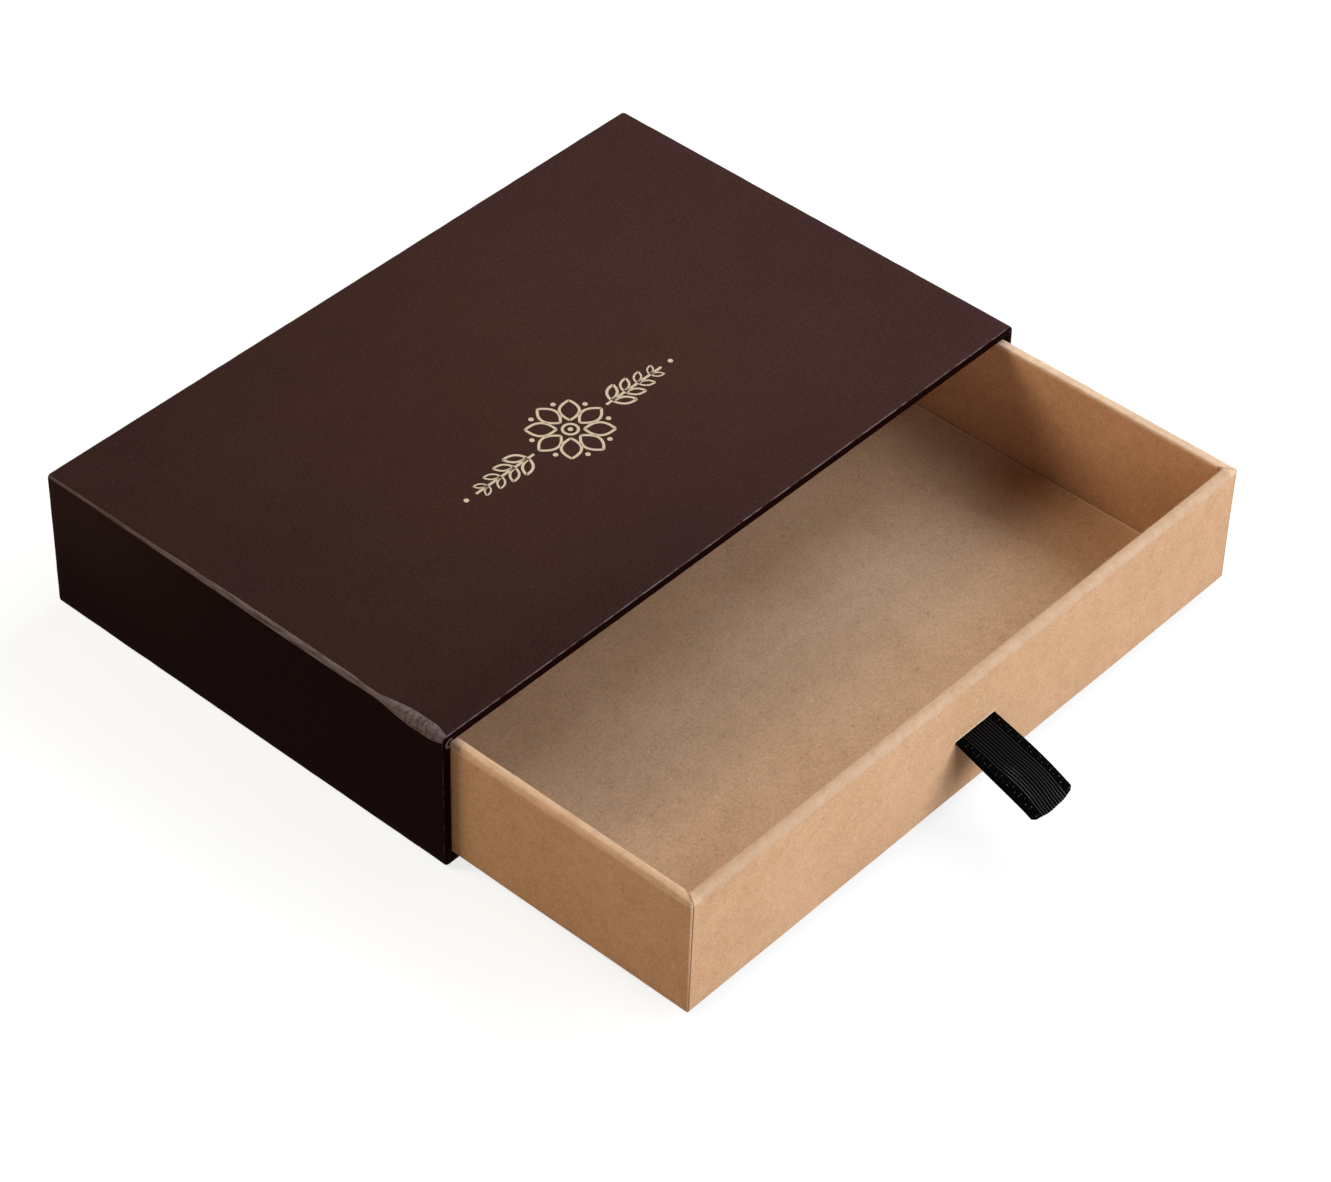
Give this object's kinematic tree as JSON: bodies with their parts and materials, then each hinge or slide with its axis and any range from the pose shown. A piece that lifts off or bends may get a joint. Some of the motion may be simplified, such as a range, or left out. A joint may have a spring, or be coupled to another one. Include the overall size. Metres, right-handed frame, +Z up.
{
  "type": "sliding drawer gift box",
  "caption": "Paper-covered board gift box: a closed-back dark sleeve with a kraft tray that slides out of its long side on a ribbon pull.",
  "frame": {"origin": "centre of the sleeve's underside, where the box rests", "axes": "+X right along the mouth, +Y towards the sleeve's closed back, +Z up; the tray slides out towards -Y"},
  "size_m": [0.216, 0.2414, 0.0434],
  "materials": {
    "greyboard": "raw",
    "stay_tape": "matte",
    "sleeve_paper": "fine leather grain, matte",
    "sleeve_lining": "matte",
    "kraft_paper": "matte",
    "kraft_liner": "matte",
    "ribbon": "ribbed"
  },
  "bodies": {
    "sleeve": {"sleeve_top_board": "greyboard", "sleeve_bottom_board": "greyboard", "sleeve_left_board": "greyboard", "sleeve_right_board": "greyboard", "sleeve_back_board": "greyboard", "sleeve_side_stays": "stay_tape", "sleeve_back_stays": "stay_tape", "sleeve_wrap": "sleeve_paper", "sleeve_base_paper": "sleeve_paper", "sleeve_back_paper": "sleeve_paper", "sleeve_lining": "sleeve_lining", "sleeve_back_lining": "sleeve_lining"},
    "drawer": {"tray_front_board": "greyboard", "tray_back_board": "greyboard", "tray_left_board": "greyboard", "tray_right_board": "greyboard", "tray_base_board": "greyboard", "tray_corner_stays": "stay_tape", "tray_wrap": "kraft_paper", "tray_base_paper": "kraft_paper", "tray_floor_liner": "kraft_liner", "ribbon_tails": "ribbon"},
    "pull_tab": {"ribbon_loop": "ribbon"}
  },
  "joints": [
    {"name": "drawer_slide", "type": "slide", "parent": "sleeve", "child": "drawer", "axis": [0, -1, 0], "range_m": [-0.076, 0.054]},
    {"name": "pull_tab_flex", "type": "hinge", "parent": "drawer", "child": "pull_tab", "pos_m": [0, -0.1467, 0.0222], "axis": [1, 0, 0], "range_deg": [-50, 35], "stiffness_Nm_per_rad": 0.0004}
  ]
}
